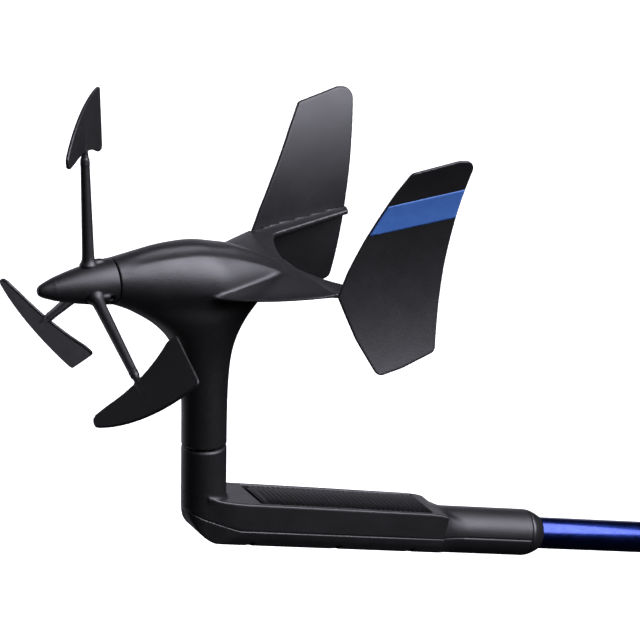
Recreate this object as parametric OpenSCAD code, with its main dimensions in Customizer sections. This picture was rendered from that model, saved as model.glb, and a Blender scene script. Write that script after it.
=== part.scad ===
// Masthead vane anemometer: a three-blade wind rotor on a nacelle that turns with a twin-fin tail,
// carried by a sloping boom arm. +X runs from the nose towards the boom's free end, +Z is up and
// the origin is the centre of the boom's free end. Sizes are in millimetres.

/* [Boom] */
// Distance from the yaw axis to the boom's free end, measured along the boom
boom_reach = 400; // [330:1:500]
// Downward slope of the boom away from the head, in degrees
boom_slope = 12.5; // [5:0.5:15]
// Outer diameter of the boom tube
boom_dia = 16; // [15:0.5:16]
// Wall thickness of the boom tube
boom_wall = 1.2; // [1:0.1:1.6]
// Length of the plug spigot that stands out of the tube
spigot_len = 25; // [18:1:30]
// Diameter of the plug spigot
spigot_dia = 13; // [11:0.5:13]

/* [Arm] */
// Width of the arm housing
arm_w = 31; // [29:0.5:34]
// Height of the arm housing's top above the boom axis at the stem
arm_top = 14; // [13:0.1:15]
// Height of the arm housing's top above the boom axis at the collar
arm_top_rear = 13; // [12:0.1:13.5]
// Depth of the arm housing below the boom axis
arm_depth = 9.6; // [9:0.1:10.5]
// Length of the flat-sided housing from the yaw axis
arm_len = 129; // [125:1:133]
// Diameter of the round collar that grips the boom
collar_dia = 23.6; // [22.5:0.1:24.5]
// Distance from the yaw axis to the collar's end
collar_end = 182; // [178:1:190]
// Number of ribs on the top panel
rib_count = 26; // [20:1:30]

/* [Stem] */
// Diameter of the stem and of the pylon's foot
stem_dia = 21.9; // [21:0.1:23]
// Height of the rotor axis above the elbow point where the stem meets the boom axis
stem_height = 129.3; // [126:0.5:135]
// Distance from the rotor axis down to the yaw joint
yaw_drop = 89.3; // [88:0.5:90]
// Gap between the turning pylon and the fixed stem
yaw_gap = 0.8; // [0.5:0.1:1.2]

/* [Rotor] */
// Distance from the yaw axis forward to the blade plane
rotor_ahead = 59; // [57:0.5:60]
// Length of the spinner's nose ahead of the blade plane
nose_len = 25.8; // [22:0.1:28]
// Largest radius of the spinner
spinner_r = 11.05; // [10.5:0.05:11.2]
// Pitch of the blades out of the plane of rotation, in degrees
blade_pitch = 38.3; // [30:0.1:45]
// Thickness of a blade
blade_t = 1.6; // [1.2:0.1:2]
// Turn of the first blade away from straight up, in degrees
rotor_phase = 4; // [0:0.1:10]

/* [Tail] */
// Half of the distance between the fins
fin_y = 48.5; // [46:0.1:50]
// Radius of the fins' outward curve
fin_curve_r = 150; // [130:1:170]
// Angle by which the fins spread apart towards the rear, in degrees
fin_toe = 4.4; // [0:0.1:5]
// Thickness of a fin
fin_t = 1.8; // [1.4:0.1:2.2]
// Thickness of the wing that carries the fins
wing_t = 2.4; // [2:0.1:3]
// Rearward rise of the wing, in degrees
wing_rise = 6.3; // [5:0.1:7]

/* [Bearings] */
// Diameter of the fixed yaw spindle
spindle_dia = 8; // [8:0.5:8]
// Outer diameter of the yaw bearings
yaw_brg_dia = 16; // [16:0.5:16]
// Diameter of the rotor shaft
shaft_dia = 4; // [4:0.5:4]
// Outer diameter of the rotor bearings
rotor_brg_dia = 11; // [11:0.5:11]

/* [Hidden] */
$fn = 64;
plastic = [0.13, 0.13, 0.14];
steel = [0.75, 0.76, 0.78];
head_x = -boom_reach * cos(boom_slope);
elbow_z = boom_reach * sin(boom_slope);
head_z = elbow_z + stem_height;
boom_r = boom_dia / 2;
stem_r = stem_dia / 2;
collar_r = collar_dia / 2;
arm_half = arm_w / 2;
tube_start = 150;
tube_end = boom_reach - spigot_len;
ring_end = collar_end + 7.8;
panel_start = 25.5;
panel_len = 94;
panel_half = 12.9;
panel_slot = 3;
elbow_r = 23.3;
screw_s = [22, 70, 112];
screw_y = 11.1;
board_screw_s = [36, 98];
screw_seat = 4.6;
spindle_r = spindle_dia / 2;
yaw_brg_r = yaw_brg_dia / 2;
yaw_brg_w = 5;
yaw_low_z = -84;
yaw_top_z = -62;
spindle_top_z = -10;
shaft_r = shaft_dia / 2;
rotor_brg_r = rotor_brg_dia / 2;
rotor_brg_w = 4;
front_brg_x = -44;
rear_brg_x = -28;
housing_r = 7;
hub_rear_x = -47.7;
nacelle_front_x = -47.2;
magnet_half = 1.5;
fin_pivot_x = 55;
fin_curve_z = 0.8;
groove_play = 0.03;

// ---- frames ----

// Head frame: origin where the rotor axis crosses the yaw axis
module at_head() {
    translate([head_x, 0, head_z]) children();
}

// Arm frame: origin at the elbow point, x along the boom, z square to it
module in_arm() {
    translate([head_x, 0, elbow_z]) rotate([0, boom_slope, 0]) children();
}

// Turns a shape drawn along z so that it lies along x
module along_x() {
    rotate([0, 90, 0]) children();
}

// Extrudes a side profile, drawn in x and z, equally to both sides
module side_extrude(width) {
    translate([0, width / 2, 0]) rotate([90, 0, 0]) linear_extrude(width) children();
}

// ---- curve functions ----

function bezier(a, b, c, d, n) =
    [for (i = [0:n]) let (t = i / n, u = 1 - t)
        u * u * u * a + 3 * u * u * t * b + 3 * u * t * t * c + t * t * t * d];

function unit(v) = v / norm(v);

// Points of the arc that rounds the corner b between a and c; a corner of radius 0 stays sharp
function corner(a, b, c, r, n = 6) =
    r == 0 ? [b] :
    let (u = unit(a - b), v = unit(c - b), half = acos(u * v) / 2, mid = b + unit(u + v) * r / sin(half),
         p = b + u * r / tan(half) - mid, q = b + v * r / tan(half) - mid,
         a0 = atan2(p[1], p[0]), turn = atan2(q[1], q[0]) - a0,
         sweep = turn > 180 ? turn - 360 : turn < -180 ? turn + 360 : turn)
        [for (i = [0:n]) mid + r * [cos(a0 + sweep * i / n), sin(a0 + sweep * i / n)]];

// Closed outline from [x, y, corner radius] vertices
function rounded(v) =
    let (n = len(v), xy = function (i) [v[i % n][0], v[i % n][1]])
        [for (i = [0:n - 1]) each corner(xy(i + n - 1), xy(i), xy(i + 1), v[i][2])];

// Point of the arm's side profile, from arm coordinates to upright ones
function upright(s, h) =
    [s * cos(boom_slope) + h * sin(boom_slope), h * cos(boom_slope) - s * sin(boom_slope)];

// Height of the wing's middle plane at x
function wing_z(x) = -4.4 + tan(wing_rise) * (x - 45.6);

// Closed loft through rings of equal length
module loft(rings) {
    n = len(rings[0]);
    last = len(rings) - 1;
    points = [for (ring = rings) each ring];
    walls = [for (k = [0:last - 1], i = [0:n - 1]) let (j = (i + 1) % n)
        each [[k * n + i, k * n + j, (k + 1) * n + i], [k * n + j, (k + 1) * n + j, (k + 1) * n + i]]];
    start = [for (i = [n - 1:-1:0]) i];
    end = [for (i = [0:n - 1]) last * n + i];
    polyhedron(points, concat([start, end], walls));
}

// ---- bearings ----

module inner_race(bore, land, pitch, ball, width) {
    rotate_extrude() difference() {
        translate([bore, 0]) square([land - bore, width]);
        translate([pitch, width / 2]) circle(ball + groove_play, $fn = 40);
    }
}

module outer_race(land, outside, pitch, ball, width) {
    rotate_extrude() difference() {
        translate([land, 0]) square([outside - land, width]);
        translate([pitch, width / 2]) circle(ball + groove_play, $fn = 40);
    }
}

module ball_set(pitch, ball, width, count) {
    cage_half = ball * 0.45;
    translate([0, 0, width / 2]) {
        for (i = [0:count - 1])
            rotate([0, 0, i * 360 / count]) translate([pitch, 0, 0]) sphere(ball, $fn = 32);
        translate([0, 0, -cage_half]) tube(pitch - cage_half, pitch + cage_half, 2 * cage_half);
    }
}

module tube(inside, outside, length) {
    difference() {
        cylinder(h = length, r = outside);
        translate([0, 0, -1]) cylinder(h = length + 2, r = inside);
    }
}

module yaw_inner() {
    inner_race(spindle_r, 5.2, 6, 1.2, yaw_brg_w);
}

module yaw_outer() {
    outer_race(6.8, yaw_brg_r, 6, 1.2, yaw_brg_w);
}

module rotor_inner() {
    inner_race(shaft_r, 3.2, 3.75, 0.8, rotor_brg_w);
}

module rotor_outer() {
    outer_race(4.3, rotor_brg_r, 3.75, 0.8, rotor_brg_w);
}

// ---- arm ----

// Side profile of the elbow and the flat-sided housing, around the elbow point
module arm_profile() {
    bottom = function (x)
        upright((x + arm_depth * sin(boom_slope)) / cos(boom_slope), -arm_depth)[1];
    a = upright(arm_len, -arm_depth);
    b = upright(arm_len, arm_top_rear - 1.7);
    c = upright(arm_len - 8, arm_top_rear);
    top = function (x) let (e = upright(0, arm_top)) e[1] + (x - e[0]) * (c[1] - e[1]) / (c[0] - e[0]);
    polygon(rounded([[-stem_r, bottom(-stem_r), elbow_r], [a[0], a[1], 0], [b[0], b[1], 0], [c[0], c[1], 6],
                     [-stem_r, top(-stem_r), 0]]));
}

// Plan of the housing: the stem's round, widening to the full width
module arm_plan() {
    circle(stem_r);
    polygon([[-2.5, -10.6], [5, -13.4], [11, -arm_half], [arm_len, -arm_half], [arm_len, arm_half],
             [11, arm_half], [5, 13.4], [-2.5, 10.6]]);
}

// Cross-section of the housing, with its lower corners sloped in
module arm_section(half, depth, tall) {
    polygon([[-half, tall], [-half, -0.5], [-half + 0.7, -depth * 0.37], [-half + 3, -depth * 0.77],
             [-half + 7.5, -depth], [half - 7.5, -depth], [half - 3, -depth * 0.77],
             [half - 0.7, -depth * 0.37], [half, -0.5], [half, tall]]);
}

module arm_outer() {
    intersection() {
        translate([head_x, 0, elbow_z]) side_extrude(60) arm_profile();
        translate([head_x, 0, elbow_z - 60]) linear_extrude(100) arm_plan();
        in_arm() translate([-30, 0, 0]) rotate([90, 0, 90]) linear_extrude(180)
            arm_section(arm_half, arm_depth, 25);
    }
    stem_foot = 11;
    stem_top = stem_height - yaw_drop - yaw_gap;
    translate([head_x, 0, elbow_z]) rotate_extrude()
        polygon([[0, stem_foot], [stem_r, stem_foot], [stem_r, stem_top - 1], [stem_r - 0.9, stem_top],
                 [0, stem_top]]);
    in_arm() translate([arm_len - 24, 0, 0]) along_x() cylinder(h = collar_end - arm_len + 24, r = collar_r);
}

// Everything hollow in the arm: stem chamber, electronics bay, boom socket and top recess
module arm_hollows() {
    at_head() {
        translate([0, 0, -yaw_drop - yaw_gap - 2]) cylinder(h = 3, r = 8.4);
        translate([0, 0, -113]) cylinder(h = 30, r = spindle_r);
        translate([0, 0, -124.3]) cylinder(h = 16, r = 8);
    }
    in_arm() {
        difference() {
            translate([14, 0, 0]) rotate([90, 0, 90]) linear_extrude(103)
                arm_section(arm_half - 2.3, 7.4, 10);
            for (s = screw_s, side = [-1, 1]) translate([s, side * screw_y, -12]) cylinder(h = 30, r = 2.9);
            for (s = board_screw_s) translate([s, 0, 2.6]) cylinder(h = 12, r = 2.6);
        }
        translate([0, 0, 7.5]) along_x() cylinder(h = 20, r = 2.5);
        translate([110, 0, 0]) along_x() cylinder(h = 60, r = 6);
        translate([tube_start, 0, 0]) along_x() cylinder(h = 60, r = boom_r);
        seal_ring();
    }
    top_recess();
}

// Recess for the ribbed panel, with a slot left open ahead of it
module top_recess() {
    lean = atan((arm_top - arm_top_rear) / (arm_len - 11));
    in_arm() translate([0, 0, arm_top]) rotate([0, lean, 0])
        translate([panel_start - panel_slot, -panel_half, -2])
            cube([panel_len + panel_slot, 2 * panel_half, 5]);
}

// Region above the parting line, which climbs round the elbow's front
module parting(above) {
    rear = upright(260, 0);
    joint = upright(13, 0);
    top = above ? 200 : -200;
    translate([head_x, 0, elbow_z]) side_extrude(80)
        polygon([[-60, 30.6], [-14, 9.8], [-4, 4.2], joint, rear, [rear[0], top], [-60, top]]);
}

module screw_holes(r, from, to) {
    in_arm() for (s = screw_s, side = [-1, 1])
        translate([s, side * screw_y, from]) cylinder(h = to - from, r = r);
}

module arm_upper_shell() {
    color(plastic) difference() {
        intersection() {
            arm_outer();
            parting(true);
        }
        arm_hollows();
        screw_holes(1.25, -1, 8);
        in_arm() for (s = board_screw_s) translate([s, 0, 0]) cylinder(h = 8, r = 1);
    }
}

module arm_lower_shell() {
    color(plastic) difference() {
        intersection() {
            arm_outer();
            parting(false);
        }
        arm_hollows();
        screw_holes(1.25, -12, 1);
        screw_holes(2.4, -14, -screw_seat);
        in_arm() gasket_loop();
    }
}

// Gasket that seals the electronics bay's seam between the boss rows
module shell_gasket() {
    color([0.2, 0.2, 0.2]) difference() {
        in_arm() gasket_loop();
        in_arm() translate([110, 0, 0]) along_x() cylinder(h = 60, r = 6);
    }
}

module gasket_loop() {
    translate([16, 0, -0.8]) difference() {
        translate([0, -9, 0]) cube([108, 18, 0.8]);
        translate([1.6, -7.4, -1]) cube([104.8, 14.8, 3]);
    }
}

module shell_screws() {
    color(steel) in_arm() for (s = screw_s, side = [-1, 1]) translate([s, side * screw_y, 0]) {
        translate([0, 0, -screw_seat]) cylinder(h = screw_seat + 6, r = 1.25);
        difference() {
            translate([0, 0, -screw_seat - 1.6]) cylinder(h = 1.6, r = 2.2);
            translate([0, 0, -screw_seat - 2]) cylinder(h = 1.2, r = 0.9, $fn = 6);
        }
    }
}

// Panel base with its ribs, crowned towards both sides
module ribbed_top_panel() {
    lean = atan((arm_top - arm_top_rear) / (arm_len - 11));
    gap = 0.25;
    length = panel_len - 2 * gap;
    pitch = length / rib_count;
    comb = [for (i = [0:rib_count - 1]) each [[i * pitch, 0.9], [i * pitch + pitch * 0.45, 0.9],
        [i * pitch + pitch * 0.55, 2], [i * pitch + pitch * 0.9, 2], [i * pitch + pitch, 0.9]]];
    color([0.09, 0.09, 0.1]) in_arm() translate([0, 0, arm_top]) rotate([0, lean, 0])
        translate([panel_start + gap, 0, -2]) intersection() {
            side_extrude(2 * (panel_half - gap)) polygon(concat([[0, 0]], comb, [[length, 0]]));
            translate([-1, 0, 2.1 - 90]) along_x() cylinder(h = length + 2, r = 90, $fn = 180);
        }
}

module collar_end_ring() {
    color([0.1, 0.1, 0.11]) in_arm() translate([collar_end, 0, 0]) along_x() rotate_extrude()
        polygon([[boom_r, 0], [collar_r, 0], [collar_r - 0.2, 2.4], [collar_r - 0.9, 5], [boom_r + 1.4, 7.8],
                 [boom_r, 7.8]]);
}

// O-ring body, also cut out of the shells
module seal_ring() {
    translate([collar_end - 6, 0, 0]) along_x() rotate_extrude() difference() {
        translate([boom_r + 0.8, 0]) circle(1);
        square([boom_r, 4], center = true);
        translate([0, -2]) square([boom_r, 4]);
    }
}

module boom_seal() {
    color([0.05, 0.05, 0.05]) in_arm() seal_ring();
}

module boom_tube() {
    color([0.05, 0.1, 0.5]) in_arm() translate([tube_start, 0, 0]) along_x()
        tube(boom_r - boom_wall, boom_r, tube_end - tube_start);
}

// Plug: a body inside the tube, a rim against its end and the free spigot
module boom_end_plug() {
    inner_r = boom_r - boom_wall;
    color([0.1, 0.1, 0.11]) in_arm() translate([tube_end, 0, 0]) along_x() difference() {
        union() {
            translate([0, 0, -18]) cylinder(h = 18, r = inner_r);
            cylinder(h = 1.6, r = boom_r);
            cylinder(h = spigot_len, r = spigot_dia / 2);
        }
        translate([0, 0, -19]) cylinder(h = 8, r = 2);
        plug_seal_shape();
        pin_rods();
    }
}

module plug_seal_shape() {
    translate([0, 0, -9]) rotate_extrude() intersection() {
        translate([boom_r - boom_wall - 0.8, 0]) circle(0.9);
        translate([0, -1]) square([boom_r - boom_wall, 2]);
    }
}

module end_plug_seal() {
    color([0.05, 0.05, 0.05]) in_arm() translate([tube_end, 0, 0]) along_x() plug_seal_shape();
}

module pin_rods() {
    for (i = [0:4]) rotate([0, 0, i * 72]) translate([3.6, 0, -4]) cylinder(h = spigot_len + 4, r = 0.8);
}

module contact_pins() {
    color([0.85, 0.7, 0.3]) in_arm() translate([tube_end, 0, 0]) along_x() pin_rods();
}

// Cable from the electronics bay to the plug, along the boom's axis
module signal_cable() {
    color([0.15, 0.15, 0.16]) in_arm() translate([106, 0, 0]) along_x()
        cylinder(h = tube_end - 11 - 106, r = 2);
}

module circuit_board() {
    color([0.05, 0.3, 0.15]) in_arm() difference() {
        translate([28, -8, 1]) cube([76, 16, 1.6]);
        for (s = board_screw_s) translate([s, 0, 0]) cylinder(h = 4, r = 1.2);
    }
}

module board_components() {
    color([0.08, 0.08, 0.09]) in_arm() {
        translate([60, -4, 2.6]) cube([8, 8, 1.2]);
        translate([48, -3, 2.6]) cube([5, 6, 1.5]);
        translate([84, -5, 2.6]) cube([7, 10, 4.5]);
        translate([74, 2.5, 2.6]) cylinder(h = 6, r = 2.5);
        translate([29, -5, 2.6]) cube([3, 10, 4]);
    }
}

module board_screws() {
    color(steel) in_arm() for (s = board_screw_s) translate([s, 0, 0]) {
        translate([0, 0, -0.6]) cylinder(h = 1.6, r = 2);
        cylinder(h = 7, r = 1);
    }
}

// ---- yaw stack on the arm ----

module yaw_spindle() {
    color(steel) at_head() difference() {
        union() {
            translate([0, 0, -117]) cylinder(h = 117 + spindle_top_z, r = spindle_r);
            translate([0, 0, -yaw_drop - yaw_gap]) cylinder(h = yaw_drop + yaw_gap + yaw_low_z, r = 5.2);
        }
        translate([0, 0, -118]) cylinder(h = 120 + spindle_top_z, r = 2.2);
        clip_groove(spindle_r, yaw_top_z + yaw_brg_w + 0.1);
    }
}

// Groove of a retaining clip on a shaft of radius r
module clip_groove(r, z) {
    translate([0, 0, z]) difference() {
        cylinder(h = 0.8, r = r + 1);
        translate([0, 0, -1]) cylinder(h = 3, r = r - 0.4);
    }
}

// Retaining clip with its open gap
module clip(r, outside) {
    difference() {
        tube(r - 0.4, outside, 0.8);
        translate([0, -1, -1]) cube([outside + 1, 2, 3]);
    }
}

module spindle_clip() {
    color(steel) at_head() translate([0, 0, yaw_top_z + yaw_brg_w + 0.1]) clip(spindle_r, 5.1);
}

module spindle_nut() {
    color(steel) at_head() translate([0, 0, -112.3]) difference() {
        cylinder(h = 4, r = 7.2, $fn = 6);
        translate([0, 0, -1]) cylinder(h = 6, r = spindle_r);
    }
}

module direction_sensor() {
    color([0.05, 0.3, 0.15]) at_head() translate([0, 0, -yaw_drop - yaw_gap - 2]) {
        tube(spindle_r, 8.2, 1.2);
        for (i = [0:3]) rotate([0, 0, 45 + i * 90]) translate([5.5, -1, 1.2]) cube([2, 2, 0.7]);
    }
}

module rotor_pickup() {
    color([0.08, 0.08, 0.09]) at_head() translate([0, 0, spindle_top_z]) {
        cylinder(h = 1.6, r = 3.6);
        translate([0, 0, -3]) cylinder(h = 3, r = 2.2);
    }
}

module lower_yaw_inner_race() {
    color(steel) at_head() translate([0, 0, yaw_low_z]) yaw_inner();
}

module upper_yaw_inner_race() {
    color(steel) at_head() translate([0, 0, yaw_top_z]) yaw_inner();
}

module yaw_bearing_spacer() {
    start = yaw_low_z + yaw_brg_w;
    color([0.7, 0.7, 0.72]) at_head() translate([0, 0, start]) tube(spindle_r, 5.2, yaw_top_z - start);
}

// ---- turning head ----

// Nacelle stations: x, top, bottom, half width, level of the widest line
nacelle = [[nacelle_front_x, 11.1, -11.1, 11.1, 0],
           [-43.4, 11.7, -12.2, 11.9, -0.4], [-38.4, 12.6, -13.6, 13, -1.2],
           [-33.3, 13.4, -15, 14, -2], [-28.2, 14.1, -16.4, 14.9, -2.8], [-20.5, 14.8, -17.6, 16.2, -4],
           [-12.9, 15.1, -17.6, 17.4, -5.2], [-5, 14.7, -17, 18.3, -6.2], [2.5, 13.4, -16, 18.5, -7],
           [10, 11, -14.6, 17.2, -7.4], [18, 7.7, -13, 15.3, -7.3], [26, 4, -11.2, 13.2, -6.8],
           [34, 0, -9, 10.4, -6.2], [41, -3.4, -6.6, 4, -5.2]];

// Pylon stations: height, front, rear, half width
pylon = [[-yaw_drop, -stem_r, stem_r, stem_r], [-66, -11.1, 11.2, stem_r], [-53, -12.2, 11.9, 11.3],
         [-45, -13.8, 12.9, 11.8], [-37.3, -16.6, 14.9, 12.8], [-31.6, -20, 17.4, 13.8],
         [-27, -24, 20.2, 14.6], [-22.3, -29.2, 24, 15.2], [-18, -34.6, 28, 15], [-13, -38.5, 30, 13.5],
         [-6, -38, 30, 11]];

function ellipse_ring(n, f) = [for (i = [0:n - 1]) f(i * 360 / n)];

module nacelle_body() {
    loft([for (p = nacelle) ellipse_ring(36, function (a)
        [p[0], p[3] * cos(a), p[4] + (sin(a) > 0 ? p[1] - p[4] : p[4] - p[2]) * sin(a)])]);
}

module pylon_body() {
    loft([for (p = pylon) ellipse_ring(36, function (a)
        [(cos(a) > 0 ? p[2] : -p[1]) * cos(a), p[3] * sin(a), p[0]])]);
}

// Half outline of the wing with the rib that runs back along the fin
wing_half = concat([[-6, 0], [-3, 18]], bezier([-0.5, 21.2], [7, 31], [22, 41.5], [37.1, 47.2], 8),
    [[45.6, 49.3], [97.3, 54.3], [97.3, 49.4], [53.4, 43.8]],
    bezier([52.9, 37.6], [46, 24], [43, 10], [41.8, 0], 6));

module wing_plate() {
    outline = concat(wing_half, [for (i = [len(wing_half) - 2:-1:1]) [wing_half[i][0], -wing_half[i][1]]]);
    translate([0, 0, wing_z(0)]) rotate([0, -wing_rise, 0]) translate([0, 0, -wing_t / 2])
        linear_extrude(wing_t) polygon(outline);
}

// Turns a fin's shape about its front so that the fins spread towards the rear
module toed(side) {
    translate([fin_pivot_x, side * fin_y, 0]) rotate([0, 0, side * fin_toe])
        translate([-fin_pivot_x, -side * fin_y, 0]) children();
}

// Solid between two radii of a fin's curve, on one side
module fin_curve(side, inside, outside) {
    translate([20, side * (fin_y + fin_curve_r), fin_curve_z]) along_x() tube(inside, outside, 110);
}

module head_shell() {
    color(plastic) at_head() difference() {
        union() {
            nacelle_body();
            pylon_body();
            difference() {
                wing_plate();
                for (side = [-1, 1]) toed(side)
                    translate([44, side * (fin_y + fin_curve_r), fin_curve_z]) along_x()
                        cylinder(h = 80, r = fin_curve_r + fin_t / 2);
            }
        }
        translate([0, 0, -100]) cylinder(h = 100 + yaw_top_z + yaw_brg_w, r = yaw_brg_r);
        translate([0, 0, -60]) cylinder(h = 52, r = 5.6);
        translate([-60, 0, 0]) along_x() cylinder(h = 60 - 22, r = housing_r);
        translate([-30, 0, 0]) along_x() cylinder(h = 26, r = 3.4);
        translate([-5, 0, 0]) along_x() cylinder(h = 10, r = 6.2);
    }
}

fin_outline = rounded([[45.9, -5.8, 3], [50.9, 6.5, 0], [58.1, 20.8, 0], [70.9, 44, 0], [77.6, 54.6, 3],
    [100.8, 58.8, 0], [109.2, 58, 5], [104.4, 33.5, 0], [99.6, 5.7, 0], [96.7, -15.1, 0], [93.9, -36.8, 3.4],
    [76.7, -42.5, 0], [64, -45, 3.8], [54.4, -27.1, 0]]);

module fin(side) {
    intersection() {
        fin_curve(side, fin_curve_r - fin_t / 2, fin_curve_r + fin_t / 2);
        translate([0, side * 57, 0]) side_extrude(30) polygon(fin_outline);
    }
}

// Coloured band wrapped on the fin's outer face
module fin_band(side) {
    band_t = 0.2;
    intersection() {
        fin_curve(side, fin_curve_r - fin_t / 2 - band_t, fin_curve_r - fin_t / 2);
        translate([0, side * 57, 0]) side_extrude(30) intersection() {
            polygon(fin_outline);
            polygon([[40, 21.3], [120, 29.9], [120, 44.6], [40, 34.6]]);
        }
    }
}

module left_fin() {
    color(plastic) at_head() toed(-1) fin(-1);
}

module right_fin() {
    color(plastic) at_head() toed(1) fin(1);
}

module left_fin_band() {
    color([0.19, 0.34, 0.63]) at_head() toed(-1) fin_band(-1);
}

module right_fin_band() {
    color([0.19, 0.34, 0.63]) at_head() toed(1) fin_band(1);
}

module lower_yaw_outer_race() {
    color(steel) at_head() translate([0, 0, yaw_low_z]) yaw_outer();
}

module upper_yaw_outer_race() {
    color(steel) at_head() translate([0, 0, yaw_top_z]) yaw_outer();
}

module yaw_outer_spacer() {
    start = yaw_low_z + yaw_brg_w;
    color([0.7, 0.7, 0.72]) at_head() translate([0, 0, start]) tube(6.8, yaw_brg_r, yaw_top_z - start);
}

module pylon_retaining_ring() {
    color([0.2, 0.2, 0.2]) at_head() translate([0, 0, -87]) tube(5.8, yaw_brg_r, 3);
}

module direction_magnet() {
    color([0.35, 0.35, 0.37]) at_head() translate([0, 0, -88.8]) tube(6, yaw_brg_r, 1.8);
}

module rotor_bearing_housing() {
    color([0.7, 0.7, 0.72]) at_head() translate([-46.4, 0, 0]) along_x() difference() {
        cylinder(h = 24.4, r = housing_r);
        translate([0, 0, -1]) cylinder(h = 23.4, r = rotor_brg_r);
        cylinder(h = 30, r = 3.4);
    }
}

module front_rotor_outer_race() {
    color(steel) at_head() translate([front_brg_x, 0, 0]) along_x() rotor_outer();
}

module rear_rotor_outer_race() {
    color(steel) at_head() translate([rear_brg_x, 0, 0]) along_x() rotor_outer();
}

module shaft_seal() {
    color([0.05, 0.05, 0.05]) at_head() translate([-46.2, 0, 0]) along_x()
        tube(shaft_r + 0.08, rotor_brg_r, 1.8);
}

// ---- rotor ----

// Half section of the spinner, from its blunt tip back to the split line
spinner_curve = concat([[0, -rotor_ahead - nose_len]],
    bezier([1.4, -rotor_ahead - nose_len + 0.15], [2.9, -rotor_ahead - nose_len + 0.7],
           [4, -rotor_ahead - 21.6], [4.9, -rotor_ahead - 19.2], 6),
    bezier([5.3, -rotor_ahead - 18.2], [7.6, -rotor_ahead - 10.5], [10.1, -rotor_ahead],
           [spinner_r, hub_rear_x], 9));

module spinner() {
    color(plastic) at_head() difference() {
        along_x() rotate_extrude() polygon(concat(spinner_curve, [[0, hub_rear_x]]));
        translate([-68, 0, 0]) along_x() cylinder(h = 30, r = shaft_r);
        for (k = [0:2]) at_spoke(k) cylinder(h = 20, r = 2.4);
        at_grub() cylinder(h = 20, r = 1.5);
    }
}

module at_spoke(k) {
    rotate([-rotor_phase - k * 120, 0, 0]) translate([-rotor_ahead, 0, 0]) children();
}

module at_grub() {
    rotate([-rotor_phase - 120 * 2, 0, 0]) translate([-51, 0, 0]) children();
}

blade_outline = concat([[-29, 64.6], [-29, 66.8]],
    bezier([-27.8, 68.2], [-18, 77], [0, 86.4], [22.6, 87.9], 8),
    corner([22.6, 87.9], [26.8, 87.9], [27.4, 61], 2),
    corner([26.8, 87], [27.4, 57.4], [22, 57.6], 2.4),
    bezier([22, 57.8], [10, 62.8], [-4, 64.6], [-18, 62.2], 8), [[-26, 61.6], [-28.2, 62.6]]);

// Blade with its spoke, pointing up in its own frame
module blade(k) {
    color(plastic) at_head() at_spoke(k) {
        translate([0, 0, 2.6]) cylinder(h = 9.4, r = 2.4);
        difference() {
            translate([0, 0, 8]) cylinder(h = 52, r1 = 2.95, r2 = 2.1);
            hub_clear();
        }
        rotate([0, 0, 90 - blade_pitch]) blade_plate();
        translate([0, 0, 58]) cylinder(h = 14.4, r1 = 2.1, r2 = 0.6);
    }
}

// The flat blade, drawn with its chord along x before it is pitched
module blade_plate() {
    rotate([90, 0, 0]) translate([0, 0, -blade_t / 2]) linear_extrude(blade_t) polygon(blade_outline);
}

// The hub's own volume, kept free of the spoke
module hub_clear() {
    translate([rotor_ahead, 0, 0]) along_x() rotate_extrude()
        polygon(concat(spinner_curve, [[0, hub_rear_x]]));
}

module blade_top() {
    blade(0);
}

module blade_right() {
    blade(1);
}

module blade_left() {
    blade(2);
}

module rotor_shaft() {
    color(steel) at_head() difference() {
        translate([-68, 0, 0]) along_x() cylinder(h = 68 + magnet_half, r = shaft_r);
        along_x() clip_groove(shaft_r, rear_brg_x + rotor_brg_w + 0.1);
    }
}

module spinner_grub_screw() {
    color(steel) at_head() at_grub() difference() {
        translate([0, 0, shaft_r]) cylinder(h = 6.5, r = 1.5);
        translate([0, 0, shaft_r + 4.5]) cylinder(h = 3, r = 0.75, $fn = 6);
    }
}

module front_rotor_inner_race() {
    color(steel) at_head() translate([front_brg_x, 0, 0]) along_x() rotor_inner();
}

module rear_rotor_inner_race() {
    color(steel) at_head() translate([rear_brg_x, 0, 0]) along_x() rotor_inner();
}

module rotor_bearing_spacer() {
    start = front_brg_x + rotor_brg_w;
    color([0.7, 0.7, 0.72]) at_head() translate([start, 0, 0]) along_x()
        tube(shaft_r, 2.9, rear_brg_x - start);
}

module shaft_clip() {
    color(steel) at_head() translate([rear_brg_x + rotor_brg_w + 0.1, 0, 0]) along_x() clip(shaft_r, 3);
}

module magnet_carrier() {
    color([0.85, 0.85, 0.82]) at_head() translate([-magnet_half, 0, 0]) along_x()
        tube(shaft_r, 3.2, 2 * magnet_half);
}

module rotor_magnet() {
    color([0.35, 0.35, 0.37]) at_head() translate([-magnet_half, 0, 0]) along_x()
        tube(3.2, 5, 2 * magnet_half);
}

module lower_yaw_balls() {
    color(steel) at_head() translate([0, 0, yaw_low_z]) ball_set(6, 1.2, yaw_brg_w, 8);
}

module upper_yaw_balls() {
    color(steel) at_head() translate([0, 0, yaw_top_z]) ball_set(6, 1.2, yaw_brg_w, 8);
}

module front_rotor_balls() {
    color(steel) at_head() translate([front_brg_x, 0, 0]) along_x() ball_set(3.75, 0.8, rotor_brg_w, 7);
}

module rear_rotor_balls() {
    color(steel) at_head() translate([rear_brg_x, 0, 0]) along_x() ball_set(3.75, 0.8, rotor_brg_w, 7);
}

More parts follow.
